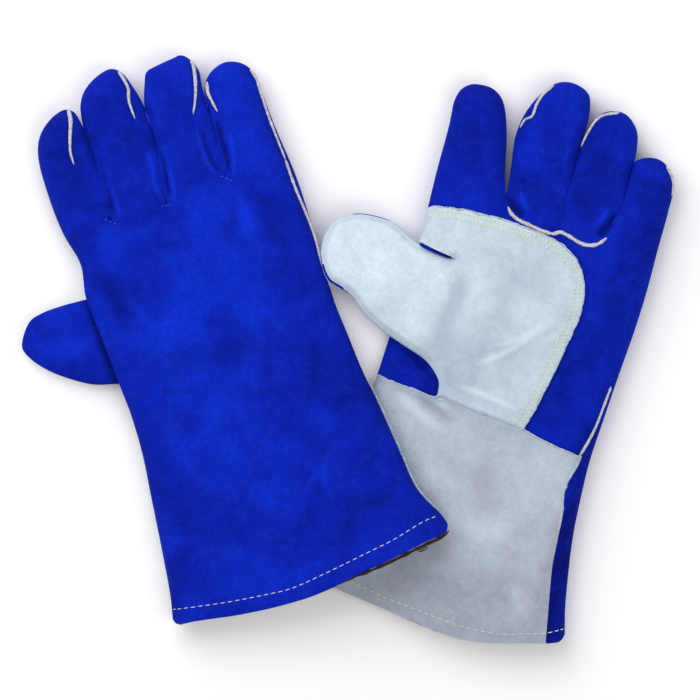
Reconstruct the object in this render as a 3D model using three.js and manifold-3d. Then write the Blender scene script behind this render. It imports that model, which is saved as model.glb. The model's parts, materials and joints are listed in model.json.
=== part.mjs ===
// A pair of welder's gauntlet gloves lying on a bench. The left-hand glove lies palm up,
// and the right-hand glove lies palm down with the corner of its cuff across the other cuff.
//
// Each glove has its own frame in millimetres. u runs across it, from the thumb side to the
// little-finger side; v runs along it, from the hem to the fingertips; and h is the height
// above the outer face of its back leather. The palm-down glove is the same build turned
// over, so its h runs downwards.
//
// A digit shell is drawn along the digit: its stations are distances along the digit, and
// the thumb is a digit that points across the glove.
import * as THREE from "three";
import { mergeVertices } from "three/addons/utils/BufferGeometryUtils.js";
import Module from "manifold-3d";

const wasm = await Module();
wasm.setup();

// Sheet materials.
const LEATHER = 1.5;
const LINING = 1.2;
const GAP = 0.3; // between sheets that touch
const WELT = 1.4; // folded strip between two leather edges
const WELT_PROUD = 0.5; // how far a digit's welt stands out of the seam
const EDGE_WELT_PROUD = 1.8; // and the hand's

// Heights above the back's outer face.
const PALM_H = 22;
const PATCH_H = PALM_H + GAP + LEATHER;
const MARGIN_H = 9; // the palm under the thumb, pressed down by it
const PRESSED_BY = 10.5; // how much flatter the lower cuff is under the upper one

// Layers, as depths below the outer face.
const LINING_DEPTH = LEATHER + GAP;
const CAVITY_DEPTH = LINING_DEPTH + LINING;

// Stations along the glove.
const CUFF_LENGTH = 118;
const KNUCKLES = 264; // the line that the four fingers bend about
const HEM_BOW = 15; // how much the hem bulges at its middle
const HEM_BOW_LENGTH = 60;
const EDGE_ROUND = 14; // width of the rounded edge of the hand
const THUMB_ROOT = 48; // distance of the thumb's root from the glove's middle line
const THUMB_HOLE = [156, 214]; // the thumb's opening in the palm, along the glove

// Finger joints: the axis lies this far below the palm face, and both sides are relieved.
const KNUCKLE_DEPTH = 5;
const FLEX = THREE.MathUtils.degToRad(72);
const EXTEND = THREE.MathUtils.degToRad(27);
const KNUCKLE_GAP = 0.4;

const COLOURS = {
  blue: { color: 0x0f2bb4, roughness: 0.95 },
  grey: { color: 0xc3cdd8, roughness: 0.95 },
  welt: { color: 0xd9d3c4, roughness: 0.9 },
  fleece: { color: 0xe9e4d8, roughness: 1 },
  canvas: { color: 0xb8a88c, roughness: 1 },
};

// A digit: its root [centre, width], its belly [station, centre, width], its tip
// [station, centre]. Stations count along the digit from the glove's own axis.
const GLOVES = {
  left: {
    palmUp: true,
    turn: -16,
    at: [51.2, -165.8],
    thumbEdge: [[0, -88], [60, -81], [130, -73.5], [200, -71.5], [KNUCKLES, -71.5]],
    littleEdge: [[0, 88.5], [35, 84], [60, 79.5], [100, 73.5], [165, 74.5], [215, 78], [KNUCKLES, 78.5]],
    fingers: {
      index: { root: [-50.2, 42.6], belly: [300, -53, 39], tip: [331.5, -57] },
      middle: { root: [-5.5, 37], belly: [310, -6.9, 40.2], tip: [347, -6] },
      ring: { root: [30.2, 29.6], belly: [310, 30.5, 30.2], tip: [338, 30] },
      little: { root: [62.8, 31.4], belly: [290, 62.9, 29.6], tip: [316, 62] },
    },
    thumb: { root: [183.5, 67], belly: [100, 202.3, 52.5], tip: [127, 205] },
  },
  right: {
    palmUp: false,
    turn: 18.5,
    at: [-26.5, -149.1],
    thumbEdge: [[0, -90], [35, -85], [60, -82], [106, -76.5], [146, -75], [200, -77.5], [KNUCKLES, -80]],
    littleEdge: [[0, 92], [30, 86], [60, 82.5], [106, 78], [144, 74], [190, 73], [KNUCKLES, 71.9]],
    fingers: {
      index: { root: [-64.7, 31.2], belly: [300, -64.5, 33], tip: [336, -63.5] },
      middle: { root: [-28.8, 34.4], belly: [310, -27.8, 36], tip: [351, -24] },
      ring: { root: [12.3, 37], belly: [310, 13.8, 36.4], tip: [344.5, 14.5] },
      little: { root: [53, 37.6], belly: [300, 52.4, 35.6], tip: [332, 52] },
    },
    thumb: { root: [182, 66], belly: [98, 192.7, 49], tip: [127, 202] },
  },
};

const clamp01 = (x) => THREE.MathUtils.clamp(x, 0, 1);
const smooth = (x) => THREE.MathUtils.smoothstep(x, 0, 1);

// The value at x of the straight lines through [x, value] points.
function along(points, x) {
  for (let i = 1; i < points.length; i++) {
    const [x0, y0] = points[i - 1];
    const [x1, y1] = points[i];
    if (x <= x1) return THREE.MathUtils.lerp(y0, y1, clamp01((x - x0) / (x1 - x0)));
  }
  return points.at(-1)[1];
}

// --- The shape of the hand and cuff -----------------------------------------------------

// The lower glove's cuff is pressed flat where the other cuff lies on it.
function pressed(glove, u, v) {
  if (!glove.palmUp) return 0;
  return PRESSED_BY * smooth((20 - u) / 70) * smooth((172 - v) / 50);
}

// Height of the palm's outer face. Beside the thumb's root it steps down to a low margin.
function palmHeight(glove, u, v) {
  const beside = smooth((v - 138) / 8) * smooth((230 - v) / 8);
  const margin = beside * clamp01((-42 - u) / 5);
  const open = PALM_H - pressed(glove, u, v);
  return THREE.MathUtils.lerp(open, Math.min(open, MARGIN_H), margin);
}

// The upper glove's cuff climbs over the lower one, whose edge crosses it on a slant.
function lift(glove, u, v) {
  if (glove.palmUp) return 0;
  const past = (u + 8.7) * 0.749 - (v - 8.3) * 0.662;
  return 22 * Math.sin((Math.PI / 2) * clamp01((past + 55) / 130)) ** 2;
}

// The hem bows out at its middle, and the bow dies away up the cuff.
function hemBow(u, v) {
  return (-10 + HEM_BOW * (u / 90) ** 2) * clamp01(1 - v / HEM_BOW_LENGTH);
}

// Where the hand ends, or a finger starts, at height h: a blunt wedge about the knuckle axis.
function knuckleRelief(h) {
  const above = h - (PALM_H - KNUCKLE_DEPTH);
  const slant = Math.tan((above > 0 ? FLEX : EXTEND) / 2);
  return KNUCKLE_GAP + Math.abs(above) * slant;
}

function handPoint(glove, u, v, h) {
  const end = v >= KNUCKLES ? v - knuckleRelief(h) : v + hemBow(u, v);
  return new THREE.Vector3(u, end, h - lift(glove, u, end));
}

// One half of a cross-section at v. The back runs from the thumb side to the little-finger
// side and the palm runs back again, so that the two halves make a ring.
function handHalf(glove, v, depth, palmSide, seamGap) {
  const uLow = along(glove.thumbEdge, v) + depth;
  const uHigh = along(glove.littleEdge, v) - depth;
  const side = palmSide ? 1 : -1;
  const face = (u) => (palmSide ? palmHeight(glove, u, v) - depth : depth);
  const corner = 1 - Math.SQRT1_2;
  const rows = [];
  for (const [edge, inward] of [[uLow, 1], [uHigh, -1]]) {
    const seam = palmHeight(glove, edge + inward * EDGE_ROUND, v) / 2;
    const top = face(edge + inward * EDGE_ROUND);
    rows.push([
      [edge, seam + side * seamGap],
      [edge + inward * EDGE_ROUND * corner, top + (seam - top) * corner],
      [edge + inward * EDGE_ROUND, top],
    ]);
  }
  const middle = [-47, -42, -20, 0, 20].map((u) => [u, face(u)]);
  const points = [...rows[0], ...middle, ...rows[1].reverse()].map(([u, h]) => handPoint(glove, u, v, h));
  return palmSide ? points.reverse() : points;
}

const SEAM_GAP = WELT / 2 + GAP;
const CUFF_STATIONS = [0, 30, 60, 90, CUFF_LENGTH];
const HAND_STATIONS = [CUFF_LENGTH + GAP, 130, 138, 146, 165, 190, 222, 230, 246, KNUCKLES];

// --- Closed meshes from grids of points -------------------------------------------------

function meshOf(vertices, triangles) {
  const geometry = new THREE.BufferGeometry().setFromPoints(vertices);
  let volume = 0;
  for (const [a, b, c] of triangles) volume += vertices[a].dot(vertices[b].clone().cross(vertices[c]));
  const facing = volume < 0 ? triangles.map(([a, b, c]) => [a, c, b]) : triangles;
  geometry.setIndex(facing.flat());
  geometry.computeVertexNormals();
  return geometry;
}

// Joins two grids of points of one size, the outer and inner face of a sheet, into a closed
// body. A round grid closes on itself along its rows.
function sheet(outer, inner, round = false) {
  const rows = outer.length;
  const columns = outer[0].length;
  const id = (face, j, i) => (face * rows + j) * columns + (i % columns);
  const triangles = [];
  const quad = (a, b, c, d) => triangles.push([a, b, c], [a, c, d]);
  const last = round ? columns : columns - 1;
  for (let j = 0; j + 1 < rows; j++) {
    for (let i = 0; i < last; i++) {
      quad(id(0, j, i), id(0, j, i + 1), id(0, j + 1, i + 1), id(0, j + 1, i));
      quad(id(1, j, i), id(1, j + 1, i), id(1, j + 1, i + 1), id(1, j, i + 1));
    }
    if (round) continue;
    quad(id(0, j, 0), id(0, j + 1, 0), id(1, j + 1, 0), id(1, j, 0));
    quad(id(0, j, last), id(1, j, last), id(1, j + 1, last), id(0, j + 1, last));
  }
  for (let i = 0; i < last; i++) {
    quad(id(0, 0, i), id(1, 0, i), id(1, 0, i + 1), id(0, 0, i + 1));
    quad(id(0, rows - 1, i), id(0, rows - 1, i + 1), id(1, rows - 1, i + 1), id(1, rows - 1, i));
  }
  return meshOf([...outer.flat(), ...inner.flat()], triangles);
}

// A flat strip that follows a line of [inner edge, outer edge] point pairs.
function strip(pairs, thickness) {
  const shifted = (by) => pairs.map((pair) => pair.map((p) => p.clone().setZ(p.z + by)));
  return sheet(shifted(thickness / 2), shifted(-thickness / 2));
}

function solidOf(geometry) {
  const bare = geometry.clone();
  for (const name of ["normal", "uv"]) bare.deleteAttribute(name);
  const merged = mergeVertices(bare, 1e-4);
  return new wasm.Manifold(
    new wasm.Mesh({
      numProp: 3,
      vertProperties: merged.attributes.position.array,
      triVerts: new Uint32Array(merged.index.array),
    }),
  );
}

function cut(geometry, tool) {
  const mesh = solidOf(geometry).subtract(solidOf(tool)).getMesh();
  const result = new THREE.BufferGeometry();
  result.setAttribute("position", new THREE.BufferAttribute(mesh.vertProperties, mesh.numProp));
  result.setIndex(new THREE.BufferAttribute(mesh.triVerts, 1));
  return result;
}

function named(name, geometry, look) {
  const mesh = new THREE.Mesh(geometry, new THREE.MeshStandardMaterial({ ...COLOURS[look], metalness: 0 }));
  mesh.name = name;
  return mesh;
}

// --- Pieces of the hand and cuff --------------------------------------------------------

function handShell(glove, stations, palmSide) {
  const half = (depth) => stations.map((v) => handHalf(glove, v, depth, palmSide, SEAM_GAP));
  return sheet(half(0), half(LEATHER));
}

function liningSleeve(glove, stations) {
  const ring = (v, depth) => [
    ...handHalf(glove, v, depth, false, 0),
    ...handHalf(glove, v, depth, true, 0).slice(1, -1),
  ];
  const rings = (depth) => stations.map((v) => ring(v, depth));
  return sheet(rings(LINING_DEPTH), rings(CAVITY_DEPTH), true);
}

// The hole in the palm that the thumb opens into, which also goes through the lining.
function thumbHole() {
  const [low, high] = THUMB_HOLE;
  const top = PALM_H - CAVITY_DEPTH - GAP;
  const bottom = MARGIN_H + GAP;
  const box = new THREE.BoxGeometry(14, high - low, top - bottom);
  return box.translate(-44, (low + high) / 2, (top + bottom) / 2);
}

function edgeWelt(glove, edge, outward) {
  const stations = [...CUFF_STATIONS, ...HAND_STATIONS.slice(1)];
  const pairs = stations.map((v) => {
    const u = along(edge, v);
    const seam = palmHeight(glove, u - outward * EDGE_ROUND, v) / 2;
    return [u - outward * (LEATHER - 0.1), u + outward * EDGE_WELT_PROUD].map((at) => handPoint(glove, at, v, seam));
  });
  return strip(pairs, WELT);
}

// The grey reinforcement: straight along the thumb's root and the wrist, rounded at the far
// corner below the little finger.
function palmPatch() {
  const outline = new THREE.Shape();
  outline.moveTo(-43, 148);
  outline.lineTo(-43, 224);
  outline.lineTo(-60, 232);
  outline.lineTo(-61, 247);
  outline.splineThru([
    [-37, 250.5], [-14, 250], [10, 246.5], [28, 239.5], [38, 228], [40.5, 212], [39, 190], [34, 160], [28, 125],
  ].map(([u, v]) => new THREE.Vector2(u, v)));
  outline.lineTo(-30, 131);
  outline.lineTo(-34, 141);
  outline.closePath();
  const plate = new THREE.ExtrudeGeometry(outline, { depth: LEATHER, bevelEnabled: false, curveSegments: 2 });
  return plate.translate(0, 0, PALM_H + GAP);
}

// The welt under the middle and ring fingers, where their set-in front joins the palm.
function baseWelt() {
  const line = [[-21, 258.4], [-9, 253.4], [6, 251.9], [22, 253.4], [36, 252.4], [44, 256.6]];
  const pairs = line.map(([u, v]) => [1.5, -1.5].map((off) => new THREE.Vector3(u, v + off, 0)));
  return strip(pairs, LEATHER).translate(0, 0, PALM_H + GAP + LEATHER / 2);
}

// --- Digits -----------------------------------------------------------------------------

// A digit with its rounded end, whose length is in proportion to its width. low and high are
// the outer faces of its back and front.
class Digit {
  constructor({ root, belly, tip }, start, low, high) {
    this.start = start;
    this.tip = tip[0];
    this.roundFrom = tip[0] - 0.56 * belly[2];
    this.belly = Math.min(belly[0], this.roundFrom - 4);
    this.centres = [[start, root[0]], [belly[0], belly[1]], tip];
    this.widths = [[start, root[1]], [belly[0], belly[2]]];
    this.seam = (low + high) / 2;
    this.reach = (high - low) / 2;
  }

  // Stations are distances along the digit, then shares of its rounded end.
  get stations() {
    return [
      { at: this.start, share: 0 },
      { at: this.belly, share: 0 },
      { at: this.roundFrom, share: 0 },
      { share: 0.55 },
      { share: 0.88 },
      { share: 1 },
    ];
  }

  // The section at a station, this far below the outer face. Its reach is its half thickness.
  section({ at, share }, depth) {
    const where = share > 0 ? this.roundFrom + share * (this.tip - depth - this.roundFrom) : at;
    const narrow = Math.sqrt(1 - share * share);
    const taper = 1 - 0.16 * clamp01((where - this.belly) / (this.tip - this.belly));
    return {
      at: where,
      centre: along(this.centres, where),
      half: Math.max((along(this.widths, where) / 2 - depth) * narrow, 4 - depth / 2),
      reach: (this.reach - depth) * Math.sqrt(narrow) * taper,
    };
  }

  // A finger's root face is cut back for its knuckle, and a thumb's is straight.
  relief(station, h) {
    return station.at === KNUCKLES ? knuckleRelief(h) : 0;
  }

  // One half of a section, ordered as handHalf is.
  half(station, depth, palmSide, seamGap) {
    const { at, centre, half, reach } = this.section(station, depth);
    const side = palmSide ? 1 : -1;
    const top = Math.max(reach, seamGap + GAP);
    const round = Math.min(half * 0.75, 13);
    const corner = 1 - Math.SQRT1_2;
    const edge = [
      [half, seamGap],
      [half - round * corner, top + (seamGap - top) * corner],
      [half - round, top],
    ];
    const profile = [...edge.map(([across, up]) => [-across, up]), ...edge.reverse()];
    const points = profile.map(([across, up]) => {
      const h = this.seam + side * up;
      return new THREE.Vector3(centre + across, at + this.relief(station, h), h);
    });
    return palmSide ? points.reverse() : points;
  }

  halves(depth, palmSide, seamGap) {
    return this.stations.map((station) => this.half(station, depth, palmSide, seamGap));
  }

  shell(palmSide) {
    return sheet(this.halves(0, palmSide, SEAM_GAP), this.halves(LEATHER, palmSide, SEAM_GAP));
  }

  lining() {
    const rings = (depth) => {
      const palm = this.halves(depth, true, 0);
      return this.halves(depth, false, 0).map((row, j) => [...row, ...palm[j].slice(1, -1)]);
    };
    return sheet(rings(LINING_DEPTH), rings(CAVITY_DEPTH), true);
  }

  // The welt between the two leathers, up one side, round the tip and down the other.
  welt() {
    const pairs = (side) => this.stations.map((station) => {
      const { at, centre, half } = this.section(station, 0);
      const end = station.share ** 2;
      const from = at + this.relief(station, this.seam) + (station.at === this.start ? GAP : 0);
      const inner = half - (LEATHER - 0.2) * (1 - end);
      return [
        new THREE.Vector3(centre + side * inner, from - (LEATHER - 0.2) * end, this.seam),
        new THREE.Vector3(centre + side * (half + WELT_PROUD), from + WELT_PROUD * end, this.seam),
      ];
    });
    return strip([...pairs(-1), ...pairs(1).reverse()], WELT);
  }
}

function digitPieces(prefix, digit, frontLook) {
  return [
    named(prefix + "_back", digit.shell(false), "blue"),
    named(prefix + "_front", digit.shell(true), frontLook),
    named(prefix + "_lining", digit.lining(), "fleece"),
    named(prefix + "_welt", digit.welt(), "welt"),
  ];
}

// --- Assembly ---------------------------------------------------------------------------

function handPieces(side, glove) {
  const hand = (palmSide) => handShell(glove, HAND_STATIONS, palmSide);
  return [
    named(side + "_back_leather", handShell(glove, [...CUFF_STATIONS, ...HAND_STATIONS.slice(1)], false), "blue"),
    named(side + "_palm_leather", cut(hand(true), thumbHole()), "blue"),
    named(side + "_gauntlet_front", handShell(glove, CUFF_STATIONS, true), "grey"),
    named(side + "_palm_patch", palmPatch(), "grey"),
    named(side + "_hand_lining", cut(liningSleeve(glove, HAND_STATIONS), thumbHole()), "fleece"),
    named(side + "_cuff_lining", liningSleeve(glove, CUFF_STATIONS), "canvas"),
    named(side + "_thumb_side_welt", edgeWelt(glove, glove.thumbEdge, -1), "welt"),
    named(side + "_little_side_welt", edgeWelt(glove, glove.littleEdge, 1), "welt"),
    named(side + "_base_welt", baseWelt(), "welt"),
  ];
}

function buildGlove(side, glove) {
  const group = new THREE.Group();
  group.add(...handPieces(side, glove));
  for (const [name, finger] of Object.entries(glove.fingers)) {
    const digit = new Digit(finger, KNUCKLES, 0, PALM_H);
    group.add(...digitPieces(side + "_" + name, digit, "blue"));
  }
  const thumb = new THREE.Group();
  const thumbDigit = new Digit(glove.thumb, THUMB_ROOT, MARGIN_H + 0.5, PATCH_H);
  thumb.add(...digitPieces(side + "_thumb", thumbDigit, "grey"));
  thumb.rotation.z = Math.PI / 2;
  group.add(thumb);

  group.rotation.z = THREE.MathUtils.degToRad(glove.turn);
  group.position.set(...glove.at, glove.palmUp ? 0 : PATCH_H);
  if (!glove.palmUp) group.scale.z = -1;
  return group;
}

const pair = new THREE.Group();
for (const [side, glove] of Object.entries(GLOVES)) pair.add(buildGlove(side, glove));

// The origin is on the bench, under the middle of the pair.
const middle = new THREE.Box3().setFromObject(pair, true).getCenter(new THREE.Vector3());
pair.position.set(-middle.x, -middle.y, 0);

export default pair;
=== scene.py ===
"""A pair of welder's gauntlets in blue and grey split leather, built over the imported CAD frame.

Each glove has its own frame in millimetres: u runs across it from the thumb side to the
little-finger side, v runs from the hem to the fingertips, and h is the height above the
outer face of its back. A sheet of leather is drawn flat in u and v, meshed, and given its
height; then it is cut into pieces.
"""

import json
import math
from typing import NamedTuple

import bpy
import numpy as np
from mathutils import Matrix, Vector, noise
from mathutils.bvhtree import BVHTree
from mathutils.geometry import delaunay_2d_cdt
from mathutils.kdtree import KDTree


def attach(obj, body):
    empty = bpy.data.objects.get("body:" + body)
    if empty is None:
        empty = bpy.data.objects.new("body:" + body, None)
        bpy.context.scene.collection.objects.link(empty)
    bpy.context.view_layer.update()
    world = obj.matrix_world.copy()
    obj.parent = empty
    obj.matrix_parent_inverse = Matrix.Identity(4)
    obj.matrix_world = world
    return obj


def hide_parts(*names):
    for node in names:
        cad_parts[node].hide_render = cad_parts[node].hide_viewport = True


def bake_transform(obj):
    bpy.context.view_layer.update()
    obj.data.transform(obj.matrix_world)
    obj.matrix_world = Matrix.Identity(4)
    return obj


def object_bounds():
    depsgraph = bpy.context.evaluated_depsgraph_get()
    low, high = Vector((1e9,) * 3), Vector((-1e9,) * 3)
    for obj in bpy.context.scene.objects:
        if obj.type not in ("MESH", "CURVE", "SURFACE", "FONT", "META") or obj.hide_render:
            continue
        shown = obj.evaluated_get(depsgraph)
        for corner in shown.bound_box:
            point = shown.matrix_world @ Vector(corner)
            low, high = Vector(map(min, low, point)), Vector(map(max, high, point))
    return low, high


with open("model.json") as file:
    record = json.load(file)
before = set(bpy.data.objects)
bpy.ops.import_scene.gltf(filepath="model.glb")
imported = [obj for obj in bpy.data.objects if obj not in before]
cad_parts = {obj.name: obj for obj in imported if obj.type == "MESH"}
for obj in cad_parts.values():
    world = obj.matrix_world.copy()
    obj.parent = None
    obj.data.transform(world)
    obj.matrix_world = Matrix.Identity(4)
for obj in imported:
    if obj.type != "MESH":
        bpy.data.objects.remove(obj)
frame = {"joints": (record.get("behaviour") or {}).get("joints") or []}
cad_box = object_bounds()

MM = 0.001

# Sheet materials, in millimetres.
LEATHER = 1.5
LINING = 1.0
LINING_DEPTH = 1.8
PATCH_RISE = 1.7  # how far the reinforcement lies above the palm
CUFF_RISE = 0.7  # and the gauntlet's front
SEAM_ALLOWANCE = 3.5  # how far inside the seams the lining ends

# Heights and stations that the frame's solids are built on.
PALM_H = 22.0
MARGIN_H = 9.0  # the palm under the thumb
PRESSED_BY = 10.5  # how much flatter the lower cuff is under the upper one
THUMB_SEAM_H = 16.6
THUMB_REACH = 7.1  # half the thumb's thickness
CUFF_LENGTH = 118.0
KNUCKLES = 264.0
KNUCKLE_H = 17.0
THUMB_HINGE_U = -47.7

# Where the leather is cut into the digits' pieces, and the stretches from the hand to the digits.
FINGER_CUT = 261.0
FINGER_BEND = [(0, 262, 11), (0, 285, 11)]
THUMB_CUT = -41.0
THUMB_BEND = [(-42, 183, 16), (-64, 183, 16)]

BENCH_PRESS = 0.8  # how far thread is pressed into a face that lies on the bench
MESH_STEP = 2.1  # distance between mesh points
EDGE_ROWS = (0.5, 1.4, 2.9)  # insets of the extra rows of points along an outline
WELT_STEP = 1.2  # distance between the sections of a welt
EDGE_STEP = 1.3  # and of a raw edge
THREAD_STEP = 0.4  # and of a stitch
PRESSED_GAP = 1.6  # fingers closer than this are pressed together
PRESSED_FADE = 7.0  # and over this much more, less and less
TACK_THREAD = 0.6
FRAME_WIDTH = 0.448  # what the camera sees at the gloves, in metres
FRAME_SHIFT = (0.0018, -0.0019)  # its middle, from the middle of the pair
FINGERS = ("index", "middle", "ring", "little")


# --- Outlines ---------------------------------------------------------------------------

# hand: smooth stretches that meet in corners. The first goes up the thumb side and round
# the index finger, then one goes round each finger, and the last is the hem.
# thumb: from the crotch round the tip to the palm's heel.
OUTLINES = {
    "left": {
        "hand": [
            [(-88, 1), (-85, 28), (-80.5, 60), (-76, 95), (-73.5, 130), (-72, 175), (-70.6, 222),
             (-71.8, 246), (-72.7, 268), (-73.2, 299), (-74.2, 315), (-71.8, 323), (-66.5, 327.6),
             (-60, 329), (-53.5, 328.8), (-47, 325.6), (-42.4, 319.8), (-35.8, 302), (-30.6, 279),
             (-26, 264.8)],
            [(-25.5, 264.8), (-27.9, 284), (-30.4, 304), (-28.2, 320), (-20.8, 336), (-13.7, 343.7),
             (-3.8, 346.2), (7.4, 342), (11.2, 330), (11.4, 309), (11.4, 288), (11.4, 256)],
            [(11.5, 256), (11.5, 288), (11.6, 310), (14.9, 327.6), (23.3, 335.3), (33.7, 336.3),
             (43.3, 328.4), (46.8, 316), (46.7, 296), (47.5, 278), (45.5, 264)],
            [(45.6, 264), (47.6, 278), (46.8, 296), (47.3, 308), (50, 310.8), (56, 313.8), (62.7, 314.2),
             (68.4, 311.6), (75.8, 301.5), (77.1, 285), (77.4, 258), (78, 230), (77.4, 205),
             (75.4, 172), (73.8, 140), (72.8, 117), (73.8, 92), (75.8, 67), (79.8, 41.5), (83.9, 20.4),
             (87.9, 5.6)],
            [(87.9, 5.6), (86.8, 1.8), (80.2, -2.4), (65.8, -6.5), (51.5, -10.6), (39.1, -13.7),
             (28.4, -15.4), (17.4, -15.7), (-5.3, -13.8), (-26.1, -11.1), (-62.9, -6.5), (-77.1, -3.5),
             (-88, 1)],
        ],
        "thumb": [(-46.5, 216.8), (-58.2, 217.9), (-71, 220), (-78, 222.4), (-88, 228), (-103, 229.4),
                  (-117, 226.6), (-127, 219), (-130.6, 206), (-128, 192), (-120, 181.6), (-111.6, 178.8),
                  (-102, 175.3), (-93.5, 167.8), (-80.5, 161), (-65, 155.6), (-46, 149.2), (-38.4, 143.6),
                  (-34.2, 138.4), (-33, 132.5), (-33, 127.3)],
    },
    "right": {
        "hand": [
            [(-91.2, 2.8), (-88, 17), (-83.6, 48), (-79.4, 82), (-76, 110), (-75, 138), (-76, 165),
             (-77, 190), (-78.4, 214.8), (-77.2, 223.6), (-75.2, 234.4), (-75.4, 241), (-79.3, 258.8),
             (-80.7, 286.1), (-78.7, 312.3), (-73.4, 323.6), (-63.3, 331.7), (-53.2, 334.3),
             (-48.2, 331.1), (-45.7, 321.2), (-45.4, 307.3), (-45.5, 280), (-48, 258.3)],
            [(-47.9, 258.25), (-45.4, 280), (-45.3, 307.3), (-45.4, 318.8), (-42.4, 334.7), (-36.8, 342.3),
             (-26.4, 348.2), (-16.7, 349.7), (-11.2, 345.4), (-7.2, 334.4), (-4.4, 321), (-4.7, 300.6),
             (-7.1, 278.4), (-10.7, 256.9)],
            [(-10.6, 256.85), (-7, 278.4), (-4.6, 300.6), (-4.2, 319), (0.4, 333.4), (4, 340.6),
             (10.7, 342.2), (22.2, 343.5), (28.5, 343.8), (33.4, 338.8), (36.2, 330.1), (34.9, 320.4),
             (34.3, 307.5), (32.9, 285), (31.2, 261)],
            [(31.3, 260.95), (33, 284.9), (34.4, 307.4), (35.4, 317), (38.4, 323), (44.4, 328.2),
             (53.7, 330.6), (62.8, 327.2), (68.4, 320.3), (70, 308.3), (71, 281.7), (73.6, 250), (73.8, 228),
             (72.4, 185), (71.6, 161.6), (73, 140), (74.6, 115), (77, 96.6), (80.4, 62.4), (83.2, 34),
             (87.6, 23), (92.8, 13.4), (95, 6.6)],
            [(95, 6.6), (94, 3.2), (90, 1), (76.8, -0.6), (55.6, -3.6), (27.5, -6.8), (10.9, -9.4),
             (-5.2, -10.5), (-29.6, -9.5), (-50.2, -7.2), (-78.5, -2.4), (-86.4, -1.1), (-90, 0.3),
             (-91.2, 2.8)],
        ],
        "thumb": [(-45.7, 216), (-62, 214.4), (-75.7, 214.7), (-96.1, 215.9), (-109.2, 215.4),
                  (-118, 212.8), (-127.3, 200.6), (-127.7, 196.7), (-124.1, 188.6), (-115.6, 178.4),
                  (-103.1, 168.4), (-91.5, 161.4), (-75.8, 156.7), (-60, 152), (-42.3, 147),
                  (-35.6, 140.6), (-33.4, 134), (-33, 127.3)],
    },
}

# Seams on the palm side, the same on both gloves.
WRIST_SEAM = [(-80, 134.4), (-68.6, 131.9), (-60.4, 130.2), (-46.8, 129.4), (-37.2, 128.2), (-33.5, 128.6),
              (-31.2, 130.6), (-24.2, 129.5), (3.3, 126.5), (20.1, 125.3), (36.7, 121.4), (57.6, 118.1),
              (65.6, 118)]
WRAP_SEAM = [(77.9, -8), (75.5, 4.7), (70.9, 27.8), (67.8, 44.7), (66.2, 62), (64.8, 80), (62.4, 91),
             (62.7, 99.8), (66, 113), (65.6, 118)]
SIDE_SEAM = [(65.6, 118), (68, 126), (70.2, 140), (71.4, 152), (72.6, 164), (77, 176)]
BASE_SEAM = [(-22.8, 258.2), (-19.4, 254.5), (-14, 252), (-7.8, 250.9), (5.4, 249.2), (10, 249.6),
             (14, 251.8), (18.1, 251.3), (29.5, 248.5), (34.8, 249), (39.4, 251.4), (43.5, 256.5)]
PATCH_EDGE = [(25.4, 123), (28, 131), (31, 143.8), (34.5, 164), (38.2, 185.8), (40.2, 199.7), (40.5, 210.4),
              (39, 219.3), (36.2, 227.8), (31.4, 235.1), (25.2, 240.6), (17.4, 244.4), (0.4, 248),
              (-25.3, 249.5), (-48.4, 248.8), (-64.3, 246.3), (-70.6, 245.8)]
HEEL = [(-33, 127.3), (-24, 128), (-16, 127.2), (3.3, 125), (16, 123.9), (25.4, 123)]

# The slit between the thumb and the reinforcement: its middle, its edge on the hand's side, and the
# fold of blue leather in it, which has a height.
SLIT = [(-71, 220.6), (-58, 218.4), (-46.5, 217.1)]
LIP = [(-70.8, 221.2), (-58, 218.8), (-47, 217.4)]
SLIT_FOLD = [(-70.4, 219.6, 20.8), (-58, 217.4, 20.8), (-48.6, 216.4, 20.4)]

# Where the blue back of the left-hand thumb comes round its edge: (share of the way round, width).
BACK_SHOWS = [(0.2, 0), (0.22, 0.5), (0.3, 0.5), (0.32, 0), (0.46, 0), (0.5, 1.25), (0.58, 1.25), (0.61, 0)]

# The row of stitches above the hem.
HEM_STITCH = {
    "left": [(-86, 7), (-65.3, 2.1), (-51.4, -0.1), (-30.5, -3.3), (-5.4, -5.6), (17.3, -7.5), (28.4, -7.7),
             (39.3, -6.8), (47.9, -5.8), (60.1, -1.9), (75.3, 3.1), (86, 8.8)],
    "right": [(-88.7, 8.9), (-69.6, 5.4), (-52.6, 2.4), (-28.9, -0.6), (-15.8, -1.8), (-6.7, -1.5),
              (13.2, 0.9), (38, 4.3), (59.2, 7.3), (81.2, 12.3), (91.9, 12.8)],
}

# A loose end of thread on the left-hand gauntlet.
LOOSE_THREAD = [
    [(-21.1, 33.6), (-18.5, 32.2), (-15.6, 32.1), (-13.6, 34.4), (-12.7, 36.7)],
    [(-19.4, 32.3), (-15.9, 30.9), (-13.4, 32.3), (-11.6, 35.2)],
]


def resample(line, step):
    """The line's points, moved along it to be evenly spaced, about a step apart."""
    line = np.asarray(line, float)
    lengths = np.concatenate([[0], np.cumsum(np.linalg.norm(np.diff(line, axis=0), axis=1))])
    count = max(2, int(round(lengths[-1] / step)) + 1)
    at = np.linspace(0, lengths[-1], count)
    return np.stack([np.interp(at, lengths, line[:, k]) for k in range(line.shape[1])], 1)


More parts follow.
